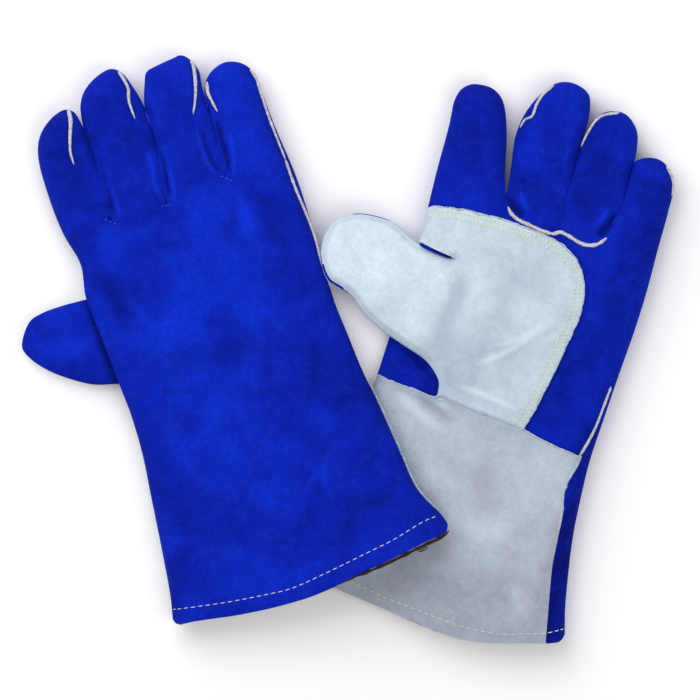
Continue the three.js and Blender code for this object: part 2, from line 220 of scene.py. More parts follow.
def curve(points, step=MESH_STEP):
    """A smooth line through the points: a centripetal Catmull-Rom spline."""
    p = np.asarray(points, float)
    p = np.vstack([2 * p[0] - p[1], p, 2 * p[-1] - p[-2]])
    parts = []
    for a, b, c, d in zip(p, p[1:], p[2:], p[3:]):
        knots = [math.sqrt(np.linalg.norm(y - x)) for x, y in ((a, b), (b, c), (c, d))]
        ta, tb, tc, td = np.cumsum([0, *knots])
        t = np.linspace(tb, tc, 12, endpoint=False)[:, None]
        ab = ((tb - t) * a + (t - ta) * b) / (tb - ta)
        bc = ((tc - t) * b + (t - tb) * c) / (tc - tb)
        cd = ((td - t) * c + (t - tc) * d) / (td - tc)
        abc = ((tc - t) * ab + (t - ta) * bc) / (tc - ta)
        bcd = ((td - t) * bc + (t - tb) * cd) / (td - tb)
        parts.append(((tc - t) * abc + (t - tb) * bcd) / (tc - tb))
    return resample(np.vstack([*parts, p[-2][None]]), step)


def distance_to(line, points):
    """Distance from each point to a line, and how far along the line the nearest place is, from 0 to 1."""
    a, b = line[:-1], line[1:]
    ab = b - a
    length = np.linalg.norm(ab, axis=1)
    start = np.concatenate([[0], np.cumsum(length)[:-1]])
    t = np.einsum("pij,ij->pi", points[:, None, :] - a[None], ab) / np.maximum(length**2, 1e-9)
    t = np.clip(t, 0, 1)
    gap = np.linalg.norm(points[:, None, :] - (a[None] + t[..., None] * ab[None]), axis=2)
    nearest = gap.argmin(1)
    rows = np.arange(len(points))
    along = (start[nearest] + t[rows, nearest] * length[nearest]) / max(length.sum(), 1e-9)
    return gap[rows, nearest], along


def unit(vectors):
    """The same directions, each 1 long."""
    return vectors / np.maximum(np.linalg.norm(vectors, axis=1, keepdims=True), 1e-9)


def offset_line(line, distance):
    """A line moved to its left, or to its right where the distance is more than 0."""
    ahead = unit(np.gradient(line, axis=0))
    return line + np.column_stack([ahead[:, 1], -ahead[:, 0]]) * distance


def inside(loop, points):
    """Which points are inside a closed loop."""
    x, y = points[:, 0][:, None], points[:, 1][:, None]
    ax, ay = loop[:, 0][None], loop[:, 1][None]
    bx, by = np.roll(loop[:, 0], -1)[None], np.roll(loop[:, 1], -1)[None]
    with np.errstate(divide="ignore", invalid="ignore"):
        crosses = ((ay > y) != (by > y)) & (x < (bx - ax) * (y - ay) / (by - ay) + ax)
    return crosses.sum(1) % 2 == 1


def plan_mesh(loop, lines):
    """A flat triangle mesh of the inside of a loop, with edges along each of the lines."""
    low, high = loop.min(0), loop.max(0)
    across = np.arange(low[0], high[0], MESH_STEP)
    up = np.arange(low[1], high[1], MESH_STEP * 0.866)
    grid = np.array([(x + (j % 2) * MESH_STEP / 2, y) for j, y in enumerate(up) for x in across])
    grid = grid[inside(loop, grid)]
    closed = np.vstack([loop, loop[:1]])
    turn = np.cross(closed[:-1], closed[1:]).sum()
    rows = []
    for inset in EDGE_ROWS:
        row = offset_line(closed, -inset if turn > 0 else inset)[:-1]
        row = row[inside(loop, row)]
        rows.append(row[distance_to(closed, row)[0] > 0.9 * inset])
    rows = np.vstack(rows)
    grid = grid[distance_to(closed, grid)[0] > EDGE_ROWS[-1] + 0.5 * MESH_STEP]
    for line in lines:
        rows = rows[distance_to(line, rows)[0] > 0.3 * MESH_STEP]
        grid = grid[distance_to(line, grid)[0] > 0.6 * MESH_STEP]
    grid = np.vstack([rows, grid])
    points = [loop]
    edges = [(i, (i + 1) % len(loop)) for i in range(len(loop))]
    count = len(loop)
    for line in lines:
        points.append(line)
        edges += [(count + i, count + i + 1) for i in range(len(line) - 1)]
        count += len(line)
    points.append(grid)
    flat = [Vector(p) for p in np.vstack(points)]
    found, _, faces, *_ = delaunay_2d_cdt(flat, edges, [], 0, 1e-3)
    found = np.array([tuple(p) for p in found])
    faces = np.array([f for f in faces if len(f) == 3])
    keep = inside(loop, found[faces].mean(1))
    a, b, c = (found[faces[:, k]] for k in range(3))
    area = (b[:, 0] - a[:, 0]) * (c[:, 1] - a[:, 1]) - (b[:, 1] - a[:, 1]) * (c[:, 0] - a[:, 0])
    faces = np.where((area < 0)[:, None], faces[:, ::-1], faces)
    return found, faces[keep & (abs(area) > 1e-4)]


# --- Heights ----------------------------------------------------------------------------

def smooth(x):
    """A smooth step, from 0 where x is 0 or less to 1 where it is 1 or more."""
    x = np.clip(x, 0, 1)
    return x * x * (3 - 2 * x)


def pillow(distance, reach):
    """0 at a seam and 1 from this far inside it, rising steeply at first."""
    x = np.clip(distance / reach, 0, 1)
    return (1 - (1 - x) ** 2) ** 0.62


def noise_field(points, size, seed):
    """Smooth noise from -1 to 1 at each point, with bumps about this many millimetres across."""
    return np.array([noise.noise(Vector((p[0] / size + seed, p[1] / size, seed * 1.7))) for p in points])


class Fold:
    """A crease, or a ridge where depth is negative, along a line that fades out at its ends."""

    def __init__(self, points, depth, width, fade=0.35):
        self.line = curve(points, 2.0)
        self.depth = depth
        self.width = width
        self.fade = fade

    def height(self, points):
        """How much the fold raises each point."""
        gap, along = distance_to(self.line, points)
        ends = smooth(np.minimum(along, 1 - along) / self.fade)
        return -self.depth * np.exp(-((gap / self.width) ** 2)) * ends


FOLDS = {
    # The back of the right-hand glove, which shows.
    ("right", "back"): [
        Fold([(-46.2, 308), (-43.8, 288), (-44.3, 268), (-45.2, 254)], 1.3, 2.6, 0.2),
        Fold([(-41.1, 284), (-40.7, 266), (-42, 254)], -1.2, 1.8, 0.25),
        Fold([(-11.6, 296), (-11.2, 282), (-13.6, 268), (-11.8, 257)], -1.4, 1.6, 0.25),
        Fold([(-4.3, 294), (-4.7, 275), (-7.6, 257)], 2.0, 1.5, 0.2),
        Fold([(-2.4, 282), (-3, 265), (-6, 254)], -1.4, 1.7, 0.25),
        Fold([(25.9, 298), (25.2, 280), (26.4, 269), (30, 261)], 1.7, 1.3, 0.2),
        Fold([(23.8, 298), (23, 280), (24, 270), (30, 259)], -1.4, 1.6, 0.25),
        Fold([(36.5, 300), (35.8, 284), (35.5, 268), (33, 260)], 2.2, 1.7, 0.2),
        Fold([(42.5, 290), (40.4, 272), (34, 258)], -1.5, 1.8, 0.25),
        Fold([(-74, 236), (-66, 226), (-60, 205), (-58, 180)], 1.2, 7.0),
        Fold([(-28.5, 48), (-22, 58), (-15, 66.6), (-9, 64.5), (-6, 54), (-6.5, 40)], -0.55, 2.2),
        Fold([(8.8, 44.5), (16, 54), (24, 61.6), (29, 63.4), (29.4, 52), (30.3, 33)], -0.6, 2.2),
        Fold([(-60, 150), (-30, 158), (0, 152), (30, 158)], 0.8, 12.0),
        Fold([(60, 150), (48, 128), (40, 100)], 1.0, 9.0),
        Fold([(74, 30), (56, 34), (40, 28)], 1.1, 7.0),
    ],
    # The palm of the left-hand glove, which shows.
    ("left", "palm"): [
        Fold([(-26, 268), (-21, 261), (-15, 257), (-9, 255)], 3.0, 1.8, 0.25),
        Fold([(-19, 273), (-14, 264), (-6, 258)], -1.3, 1.8),
        Fold([(-30.6, 279), (-27, 268), (-23, 261)], 1.6, 1.6),
        Fold([(11.4, 272), (11.6, 262), (12, 252)], 2.0, 1.8),
        Fold([(47.6, 276), (44.1, 267.4), (40.6, 261), (36.8, 255)], 3.4, 2.0, 0.25),
        Fold([(40, 277), (37, 267), (31, 260)], -1.3, 1.8),
        Fold([(-18, 296), (-6, 294), (6, 297)], 0.8, 1.3),
        Fold([(-22, 281), (-14, 282), (-4, 279)], 0.6, 1.5),
        Fold([(8, 312), (4, 298), (10, 282)], -0.7, 2.4),
        Fold([(-67.5, 153.4), (-54.8, 149), (-45.2, 143.6), (-37.6, 135)], 1.6, 1.1, 0.2),
        Fold([(-22, 149), (2, 170), (29, 203)], -1.0, 2.8),
        Fold([(-15, 165), (8, 179), (31, 201)], -0.7, 2.4),
        Fold([(-18, 156), (6, 176), (30, 202)], 0.9, 1.8),
        Fold([(-30, 139), (-14, 139), (6, 137), (26, 133)], -0.9, 2.2),
        Fold([(-44, 222), (-38, 200), (-40, 172), (-36, 145)], 1.6, 6.5),
        Fold([(-52, 126), (-38, 123), (-24, 118), (-12, 117)], 1.7, 2.6),
        Fold([(-66, 127), (-48, 119), (-30, 111), (-14, 108)], -1.1, 4.0),
        Fold([(-36, 125), (-28, 124.6), (-20, 124)], -1.0, 2.4),
        Fold([(0, 110), (14, 84), (22, 50)], 0.9, 10.0),
        Fold([(-4, 60), (20, 56), (44, 66)], -0.8, 9.0),
        Fold([(-12, 218), (-6, 196), (-10, 172)], 0.8, 8.0),
        Fold([(56, 240), (60, 200), (58, 160)], 0.7, 8.0),
        Fold([(-62, 276), (-50, 272), (-38, 277)], 0.6, 3.5),
    ],
}


# Rubbed and pressed nap, and in places painted light and shade: u, v, reach across, reach along, strength.
WEAR_AND_SHADING = {
    ("right", "back"): [
        # The lighter middle of the back and the darker index and middle fingers are partly painted light and
        # shade.
        (0, 195, 48, 60, 0.5), (-30, 120, 30, 60, 0.35), (20, 70, 40, 30, 0.2), (-30, 171, 26, 34, 0.4),
        (0, 13, 30, 14, 0.35),
        (34.6, 229, 4.5, 11, 1.6), (42, 226, 4, 12, 0.5), (18, 216, 8, 12, 0.4),
        (-60, 300, 16, 40, -0.45), (-25, 312, 16, 36, -0.45), (52, 300, 18, 34, 0.65),
        (-52, 240, 10, 14, 0.3), (-30, 246, 8, 12, 0.3), (-2, 246, 10, 12, 0.3), (-26, 252, 9, 5, -0.7),
        (60, 120, 22, 60, -0.35), (-66, 60, 14, 60, -0.25), (50, 20, 40, 16, -0.2),
    ],
    # The last place on this thumb is a painted shadow, where the hand's edge lies over the thumb.
    ("right", "thumb"): [(-102, 190, 16, 7, 0.8), (-96, 206, 18, 8, 0.1), (-77, 190, 3.5, 40, -2.2)],
    ("left", "palm"): [
        (56, 200, 20, 60, -0.1), (-52, 262, 18, 14, 0.2), (-52, 300, 18, 30, -0.35), (-8, 306, 18, 30, -0.25),
        (-92, 204, 44, 26, 0.95), (-10, 150, 40, 30, -0.7), (0, 222, 22, 16, -0.1), (30, 300, 15, 30, -0.55),
        # The place at (-38, 14) is painted light, put against the shadow of the upper glove's hem on this
        # cuff.
        (62, 290, 14, 24, -0.3), (10, 0, 80, 34, -1.5), (-38, 14, 18, 14, 0.8), (70, 60, 8, 70, -1.5),
        (45, 142, 16, 20, -0.3),
    ],
}


# Where a welt lies on top of a digit instead of under its edge. Each ends in a point.
TOP_WELTS = {
    "left": {
        "middle": [[(-29, 309), (-27, 315.4), (-23.8, 317.8), (-22.8, 326.8), (-20.6, 334), (-15.6, 341.4)]],
        "ring": [[(12, 308), (12.6, 313.4), (16, 326.4), (19.6, 331), (29.4, 336)]],
        "little": [[(76.2, 294), (75, 301.4), (72.2, 306.6), (67.8, 311.2)]],
        "little_side": [[(72.4, 166), (71.2, 151), (69.8, 137), (67.2, 125), (65.2, 118)]],
    },
    "right": {
        "index": [[(-58.4, 298.6), (-58.1, 306.2), (-56.5, 312.5), (-51.4, 326.9), (-51, 333.8)]],
        "middle": [[(-12.1, 314), (-12.3, 319), (-12.2, 326.7), (-10.4, 333.9), (-12.7, 347)]],
        "ring": [[(23.9, 304.8), (28.9, 315.4), (32, 325.1), (33.7, 335), (33.2, 338.6)]],
        "little": [
            [(39.2, 301.5), (37.8, 310.6), (37.3, 315), (38.8, 322)],
            [(70.5, 259), (69.8, 271.1), (69.1, 287.4), (69.2, 303), (69.1, 315), (67.4, 321)],
        ],
        "little_side": [[(72, 172), (71.6, 188.4), (72.6, 206.3), (72.3, 220), (70.8, 240), (70.5, 259)]],
    },
}


class Glove:
    """One glove's frame, outlines and surface heights."""

    def __init__(self, side):
        self.side = side
        self.palm_up = side == "left"
        sign = 1 if self.palm_up else -1
        joints = {j["name"]: j for j in frame["joints"]}
        finger = joints[f"{side}_index_bend"]
        thumb = joints[f"{side}_thumb_bend"]
        self.u = np.array(finger["axis"]) * sign
        self.v = np.array(thumb["axis"]) * sign
        self.h = np.array([0.0, 0.0, sign])
        self.side_down = np.array([0.0, 0.0, -sign])
        at_finger, at_thumb = np.array(finger["pos_m"]) / MM, np.array(thumb["pos_m"]) / MM
        self.origin = (
            (at_thumb @ self.u - THUMB_HINGE_U) * self.u
            + (at_finger @ self.v - KNUCKLES) * self.v
            + (at_finger @ self.h - KNUCKLE_H) * self.h
        )
        shapes = OUTLINES[side]
        self.stretches = [curve(points) for points in shapes["hand"]]
        self.seams = self.stretches[:4]
        self.crotches = [line[-1] for line in self.stretches[:3]]
        self.pressed = self.find_pressed()
        self.loop = np.vstack([line[:-1] for line in self.stretches])
        self.thumb = curve(shapes["thumb"])

    def world(self, points):
        """Points of the glove's frame, as places in the shared frame in metres. None is under the bench."""
        p = np.asarray(points, float).reshape(-1, 3)
        places = (self.origin + p[:, :1] * self.u + p[:, 1:2] * self.v + p[:, 2:] * self.h) * MM
        places[:, 2] = np.maximum(places[:, 2], 0)
        return places

    def press(self, face):
        """How far thread and cut edges are pressed into a face that lies on the bench."""
        return 0.0 if (face == "palm") == self.palm_up else BENCH_PRESS

    def find_pressed(self):
        """How closely a finger is pressed against its neighbour, for each point of the seams."""
        shares = []
        for k, line in enumerate(self.seams):
            others = [other for n, other in enumerate(self.seams) if abs(n - k) == 1]
            gap = np.min([distance_to(other, line)[0] for other in others], 0)
            shares.append(1 - smooth((gap - PRESSED_GAP) / PRESSED_FADE))
        return np.concatenate(shares)

    def seam_distance(self, points):
        """Distance from each point to the nearest seam round the hand and the fingers."""
        return np.min([distance_to(line, points)[0] for line in self.seams], 0)

    def seam_share(self, points):
        """Where the seam runs in the thickness, from the back at 0 to the palm at 1, and how pressed it is.

        Leather bulges over a pressed seam on the side that shows, so the seam is near that face.
        """
        seam_points = np.vstack(self.seams)
        tree = KDTree(len(seam_points))
        for number, (u, v) in enumerate(seam_points):
            tree.insert((u, v, 0), number)
        tree.balance()
        pressed = np.array([self.pressed[tree.find((u, v, 0))[1]] for u, v in points])
        towards_crotch = smooth((304 - points[:, 1]) / 30)
        towards = (0.24 + 0.21 * towards_crotch) * pressed
        return 0.5 + (towards if self.palm_up else -towards), pressed

    def palm_height(self, p, margin=True):
        """Height of the palm's face away from its seams, with or without the low margin under the thumb."""
        u, v = p[:, 0], p[:, 1]
        level = np.full(len(p), PALM_H)
        # The upper cuff flattens the thumb side of the lower one.
        if self.palm_up:
            level -= PRESSED_BY * smooth((20 - u) / 70) * smooth((172 - v) / 50)
        if not margin:
            return level
        under_thumb = smooth((v - 138) / 8) * smooth((228 - v) / 8) * np.clip((-42 - u) / 6, 0, 1)
        return level + under_thumb * (np.minimum(level, MARGIN_H) - level)

    def lift(self, p):
        """How far the upper glove's cuff is raised by the lower one, whose edge crosses it on a slant."""
        if self.palm_up:
            return np.zeros(len(p))
        past = (p[:, 0] + 8.7) * 0.749 - (p[:, 1] - 8.3) * 0.662
        return 22 * np.sin(np.pi / 2 * np.clip((past + 55) / 130, 0, 1)) ** 2

    def slack(self, p, seed):
        """Gentle rises and hollows all over the leather."""
        broad = 0.9 * noise_field(p, 46, seed) + 0.35 * noise_field(p, 17, seed + 5)
        return broad + 0.14 * noise_field(p, 7, seed)

    def creases(self, p, face):
        """Folds, and the groove that a welt lies in."""
        total = np.zeros(len(p))
        for fold in FOLDS.get((self.side, face), []):
            total += fold.height(p)
        showing = "palm" if self.palm_up else "back"
        lines = [line for lines in TOP_WELTS[self.side].values() for line in lines]
        for line in lines if face == showing else []:
            gap, along = distance_to(curve(line), p)
            total -= 0.9 * np.exp(-((gap / 2.2) ** 2)) * smooth(along / 0.1)
        return total

    def pucker(self, p, lines, reach=4.0, depth=0.28):
        """Small dimples that stitching draws up beside a seam."""
        gap = np.min([distance_to(line, p)[0] for line in lines], 0)
        return depth * noise_field(p, 4.2, 1.3) * np.exp(-gap / reach)

    def wear_and_shading(self, p, face):
        """Where the nap is rubbed lighter, 1, or pressed darker, -1, and where light and shade are painted
        on.
        """
        total = 0.25 * noise_field(p, 60, 2.2)
        for u, v, across, along, strength in WEAR_AND_SHADING.get((self.side, face), []):
            total += strength * np.exp(-(((p[:, 0] - u) / across) ** 2) - ((p[:, 1] - v) / along) ** 2)
        return total

    def seam_line(self, line, out, drop):
        """Places along the seam, moved outwards and towards the bench, and the outward directions."""
        ahead = unit(np.gradient(line, axis=0))
        side = np.column_stack([-ahead[:, 1], ahead[:, 0], np.zeros(len(line))])
        share, _ = self.seam_share(line)
        height = share * self.palm_height(line) - self.lift(line) - (drop if self.palm_up else -drop)
        return np.column_stack([line, height]) + side * out, side

    def hand_height(self, p, face, margin=True):
        """Height of the palm's or the back's outer face, and its creases."""
        gap = self.seam_distance(p)
        level = self.palm_height(p, margin)
        share, pressed = self.seam_share(p)
        seam = share * level
        full = pillow(gap, 14 - 6 * pressed)  # a pressed finger rises sooner from its seam
        showing = (face == "palm") == self.palm_up
        strength = 1.0 if showing else 0.25
        slack = strength * self.slack(p, 3.1 if face == "palm" else 8.4) * smooth(gap / 6)
        creases = strength * self.creases(p, face) * smooth(gap / 2.4)
        creases += strength * self.pucker(p, self.seams) * smooth(gap / 2)
        relief = slack + creases
        if face == "palm":
            height = seam + (level - seam) * full + relief
        else:
            height = seam - seam * full - relief
        return height - self.lift(p), creases


# --- Meshes -----------------------------------------------------------------------------

class Sheet:
    """A sheet of leather: points in the glove's frame, triangles that face outwards, and normals."""

    def __init__(self, glove, points, faces, tone):
        self.glove = glove
        self.points = points
        self.faces = faces
        self.tone = tone
        a, b, c = (points[faces[:, k]] for k in range(3))
        face_normals = np.cross(b - a, c - a)
        normals = np.zeros_like(points)
        for k in range(3):
            np.add.at(normals, faces[:, k], face_normals)
        self.normals = unit(normals)
        self.tree = BVHTree.FromPolygons([tuple(p) for p in points], [tuple(map(int, f)) for f in faces])

    @property
    def centres(self):
        """The middle of each triangle."""
        return self.points[self.faces].mean(1)

    def raised(self, height):
        """The same sheet, lifted off its surface by a height, or by one for each point."""
        height = np.broadcast_to(height, len(self.points))
        return Sheet(self.glove, self.points + self.normals * height[:, None], self.faces, self.tone)

    def at(self, u, v, offset=0.0):
        """The place on the sheet over (u, v), and the outward direction there."""
        up = self.normals[:, 2].sum() > 0
        start = Vector((u, v, 200 if up else -200))
        place, normal, _, _ = self.tree.ray_cast(start, Vector((0, 0, -1 if up else 1)))
        if place is None:
            place, normal, _, _ = self.tree.find_nearest(Vector((u, v, PALM_H / 2)))
        normal = normal if (normal.z > 0) == up else -normal
        return np.array(place + normal * offset), np.array(normal)

    def along(self, line, offset=0.0):
        """The places on the sheet over a line, and the outward directions there."""
        found = [self.at(u, v, offset) for u, v in line]
        return np.array([p for p, _ in found]), np.array([n for _, n in found])


class Body(NamedTuple):
    """A closed body cut from sheets, in the glove's frame.

    Which is each face's material, corners are the normals of the face corners, and tone is the
    relief and the wear at each point, which the leather turns into painted shade and light.
    """

    points: np.ndarray
    faces: list
    which: list
    corners: np.ndarray
    tone: np.ndarray


def thick(sheet, chosen, thickness):
    """The chosen triangles of a sheet as a closed body, with the hem's cut face told apart."""
    faces = sheet.faces[chosen]
    used, flat = np.unique(faces, return_inverse=True)
    faces = flat.reshape(-1, 3)
    points, normals = sheet.points[used], sheet.normals[used]
    count = len(points)
    directed = {(int(f[k]), int(f[k - 2])) for f in faces for k in range(3)}
    rim = np.array([(a, b) for a, b in sorted(directed) if (b, a) not in directed])
    outward = np.cross(points[rim[:, 1]] - points[rim[:, 0]], normals[rim[:, 0]])
    side = np.zeros_like(points)
    for k in range(2):
        np.add.at(side, rim[:, k], outward)
    side = unit(side)
    inner = faces[:, ::-1]
    quads = np.column_stack([rim[:, 1], rim[:, 0], rim[:, 0] + count, rim[:, 1] + count])
    corners = [normals[faces], -normals[inner], side[quads % count]]
    sets = [faces, inner + count, quads]
    if not sheet.glove.palm_up:
        corners = [c[:, ::-1] for c in corners]
        sets = [f[:, ::-1] for f in sets]
    middles = points[rim, :2].mean(1)
    cut = distance_to(sheet.glove.stretches[4], middles)[0] < 3
    return Body(
        np.vstack([points, points - normals * thickness]),
        [face for faces in sets for face in faces.tolist()],
        [0] * (2 * len(faces)) + cut.astype(int).tolist(),
        np.vstack([c.reshape(-1, 3) for c in corners]),
        np.vstack([sheet.tone[used]] * 2),
    )


def merge(bodies):
    """Several bodies as one."""
    faces, count = [], 0
    for body in bodies:
        faces += [[i + count for i in face] for face in body.faces]
        count += len(body.points)
    return Body(
        np.vstack([body.points for body in bodies]),
        faces,
        sum((body.which for body in bodies), []),
        np.vstack([body.corners for body in bodies]),
        np.vstack([body.tone for body in bodies]),
    )


def to_object(name, glove, points, faces, materials):
    """A mesh object from points in the glove's frame, which stay with it as its texture space."""
    mesh = bpy.data.meshes.new(name)
    mesh.from_pydata([tuple(p) for p in glove.world(points)], [], faces)
    mesh.polygons.foreach_set("use_smooth", np.ones(len(mesh.polygons), bool))
    for material in materials:
        mesh.materials.append(material)
    rest = mesh.attributes.new("rest", "FLOAT_VECTOR", "POINT")
    rest.data.foreach_set("vector", np.asarray(points, np.float32).ravel())
    obj = bpy.data.objects.new(name, mesh)
    bpy.context.scene.collection.objects.link(obj)
    return obj


def leather_object(name, glove, body, materials):
    """A mesh object from a body, with its tone for the materials and its own normals."""
    obj = to_object(name, glove, body.points, body.faces, materials)
    mesh = obj.data
    mesh.polygons.foreach_set("material_index", np.asarray(body.which, np.int32))
    # The suede paints these: shade in creases and highlight on their crowns from the relief, rubbed nap and
    # painted light and shade from the wear.
    for column, attribute in enumerate(("relief", "wear_and_shading")):
        values = mesh.attributes.new(attribute, "FLOAT", "POINT")
        values.data.foreach_set("value", np.ascontiguousarray(body.tone[:, column], np.float32))
    corners = body.corners @ np.array([glove.u, glove.v, glove.h])
    mesh.normals_split_custom_set([tuple(n) for n in corners])
    return obj


def sweep(line, normals, width, height, sides=8, wobble=0.0, seed=0.0, taper=3):
    """A strip of leather or a thread along a line: rounded, width across and height up.

    Its thickness wavers by the wobble, and its ends narrow over this many steps of the line.
    """
    line, normals = np.asarray(line), np.asarray(normals)
    ahead = unit(np.gradient(line, axis=0))
    across = unit(np.cross(normals, ahead))
    up = np.cross(ahead, across)
    count = len(line)
    ends = np.minimum(np.arange(count), np.arange(count)[::-1])
    swell = np.sqrt(np.clip((ends + 0.35) / taper, 0, 1))
    if wobble:
        waver = [noise.noise(Vector((i * 0.37, seed, 0))) for i in range(count)]
        swell = swell * (1 + wobble * np.array(waver))
    width = np.broadcast_to(width, count)[:, None]
    angles = np.arange(sides) * 2 * math.pi / sides + math.pi / sides
    rings = [
        line + (across * math.cos(a) * width / 2 + up * math.sin(a) * height / 2) * swell[:, None]
        for a in angles
    ]
    points = np.stack(rings, 1).reshape(-1, 3)
    faces = []
    for i in range(count - 1):
        for k in range(sides):
            n = (k + 1) % sides
            faces.append((i * sides + k, i * sides + n, (i + 1) * sides + n, (i + 1) * sides + k))
    faces.append(tuple(range(sides))[::-1])
    faces.append(tuple((count - 1) * sides + k for k in range(sides)))
    return points, faces


def join(parts):
    """Several (points, faces) as one."""
    points, faces, count = [], [], 0
    for p, f in parts:
        points.append(p)
        faces += [tuple(i + count for i in face) for face in f]
        count += len(p)
    return np.vstack(points), faces


def stitches(line, normals, pitch, length, thread):
    """A row of stitches along a line: each one rises out of the leather and dips back in."""
    spaced = resample(np.hstack([line, normals]), THREAD_STEP)
    line, normals = spaced[:, :3], spaced[:, 3:]
    parts = []
    span, gap = max(4, int(length / THREAD_STEP)), max(1, int(pitch / THREAD_STEP))
    # No two stitches lean the same way.
    for number, start in enumerate(range(0, len(line) - span, gap)):
        piece = slice(start, start + span + 1, 2)
        arch = np.sin(np.linspace(0, math.pi, len(line[piece])))[:, None]
        lean = 0.12 * math.sin(number * 12.9)
        side = np.cross(normals[piece], np.gradient(line[piece], axis=0))
        raised = line[piece] + normals[piece] * (arch * 0.45 - 0.1) + side * lean * arch
        parts.append(sweep(raised, normals[piece], thread, thread, 6, taper=2))
    return join(parts)


# --- Materials --------------------------------------------------------------------------

class Nodes:
    """A new material's node tree, with a short way to add and link nodes."""

    def __init__(self, name):
        self.material = bpy.data.materials.new(name)
        self.material.use_nodes = True
        self.tree = self.material.node_tree
        self.shader = self.tree.nodes["Principled BSDF"]

    def add(self, kind, **settings):
        """A new node with these settings."""
        node = self.tree.nodes.new(kind)
        for name, value in settings.items():
            setattr(node, name, value)
        return node

    def feed(self, socket, value):
        """Gives a socket a value, or links it to another node's output."""
        if isinstance(value, bpy.types.NodeSocket):
            self.tree.links.new(value, socket)
        else:
            socket.default_value = value

    def fill(self, node, **inputs):
        """Feeds some of a node's inputs by name."""
        for name, value in inputs.items():
            self.feed(node.inputs[name.replace("_", " ")], value)

    def read(self, attribute, output="Fac"):
        """A value that the mesh holds for each point."""
        return self.add("ShaderNodeAttribute", attribute_name=attribute).outputs[output]

    def place(self):
        """The place on the glove, in millimetres, which doesn't change when a digit bends."""
        return self.read("rest", "Vector")

    def noise(self, size, detail=2.0, roughness=0.5, distortion=0.0):
        """Noise with features about this many millimetres across."""
        node = self.add("ShaderNodeTexNoise")
        self.fill(node, Scale=1.0 / size, Detail=detail, Roughness=roughness, Distortion=distortion)
        self.fill(node, Vector=self.place())
        return node.outputs["Fac"]

    def ramp(self, source, stops):
        """A source made into colours, or into greys where a stop has one number."""
        node = self.add("ShaderNodeValToRGB")
        while len(node.color_ramp.elements) < len(stops):
            node.color_ramp.elements.new(0.5)
        for element, (position, colour) in zip(node.color_ramp.elements, stops):
            element.position = position
            element.color = colour if hasattr(colour, "__len__") else (colour, colour, colour, 1)
        self.fill(node, Fac=source)
        return node.outputs["Color"]

    def mix(self, factor, a, b):
        """Colour a where the factor is 0, and b where it is 1."""
        node = self.add("ShaderNodeMix", data_type="RGBA")
        for number, value in ((0, factor), (6, a), (7, b)):
            self.feed(node.inputs[number], value)
        return node.outputs[2]

    def maths(self, operation, a, b):
        """An operation on two values."""
        node = self.add("ShaderNodeMath", operation=operation)
        self.feed(node.inputs[0], a)
        self.feed(node.inputs[1], b)
        return node.outputs[0]

    def bump(self, height, strength, distance, **normal):
        """Bumps this many millimetres high, on their own or over another normal."""
        node = self.add("ShaderNodeBump")
        self.fill(node, Height=height, Strength=strength, Distance=distance * MM, **normal)
        return node.outputs["Normal"]


def srgb(red, green, blue):
    """A colour given as 0 to 255, in the linear values that shaders take."""
    def linear(x):
        x /= 255
        return x / 12.92 if x <= 0.04045 else ((x + 0.055) / 1.055) ** 2.4
    return (linear(red), linear(green), linear(blue), 1)


def suede(name, dark, base, light, sheen, tint, speck=0.0):
    """Split leather: a brushed nap in patches, painted shade in creases, painted highlight on crowns, lighter
    where rubbed.
    """
    n = Nodes(name)
    # Patches where the nap lies one way, then brush strokes, mottling and single fibres.
    # The wear, with its painted light and shade, shifts the patches lighter or darker.
    cloud = n.maths("ADD", n.noise(30, 3, 0.55, 0.6), n.maths("MULTIPLY", n.read("wear_and_shading"), 0.38))
    patches = n.ramp(cloud, [(0.07, dark), (0.52, base), (0.98, light)])
    strokes = n.noise(9, 4, 0.6, 1.2)
    colour = n.mix(n.ramp(strokes, [(0.4, 0.0), (0.8, 0.3)]), patches, light)
    colour = n.mix(n.ramp(n.noise(3.2, 3, 0.7), [(0.40, 0.22), (0.6, 0.0)]), colour, dark)
    nap = n.noise(0.75, 3, 0.75)
    colour = n.mix(n.ramp(nap, [(0.3, 0.35), (0.5, 0.0)]), colour, dark)
    # Creases are painted darker as shade, and their crowns painted lighter as highlight and rubbed nap.
    relief = n.read("relief")
    crease_shade = n.ramp(n.maths("MULTIPLY", relief, -0.5), [(0.06, 0.0), (0.7, 0.75)])
    colour = n.mix(crease_shade, colour, dark)
    crown_highlight_and_rub = n.ramp(n.maths("MULTIPLY", relief, 0.5), [(0.08, 0.0), (0.6, 0.7)])
    colour = n.mix(crown_highlight_and_rub, colour, light)
    if speck:
        spots = n.ramp(n.noise(1.3, 2, 0.5), [(0.68, 0.0), (0.76, speck)])
        colour = n.mix(spots, colour, srgb(120, 116, 112))
    roughness = n.ramp(strokes, [(0.3, 0.98), (0.8, 0.86)])
    coarse = n.bump(n.noise(5.5, 4, 0.6, 0.8), 0.14, 0.5)
    fine = n.bump(nap, 0.5, 0.35, Normal=coarse)
    n.fill(n.shader, Base_Color=colour, Roughness=roughness, Normal=fine, Specular_IOR_Level=0.08)
    n.fill(n.shader, Sheen_Weight=sheen, Sheen_Roughness=0.45, Sheen_Tint=tint)
    return n.material


def fibre(name, base, shade, size, depth):
    """A cut leather edge, thread or fleece: short fibres of two tones."""
    n = Nodes(name)
    tones = n.noise(size, 4, 0.65, 0.5)
    colour = n.ramp(tones, [(0.35, shade), (0.62, base)])
    relief = n.bump(tones, 0.6, depth)
    n.fill(n.shader, Base_Color=colour, Normal=relief, Roughness=0.9, Specular_IOR_Level=0.25)
    return n.material


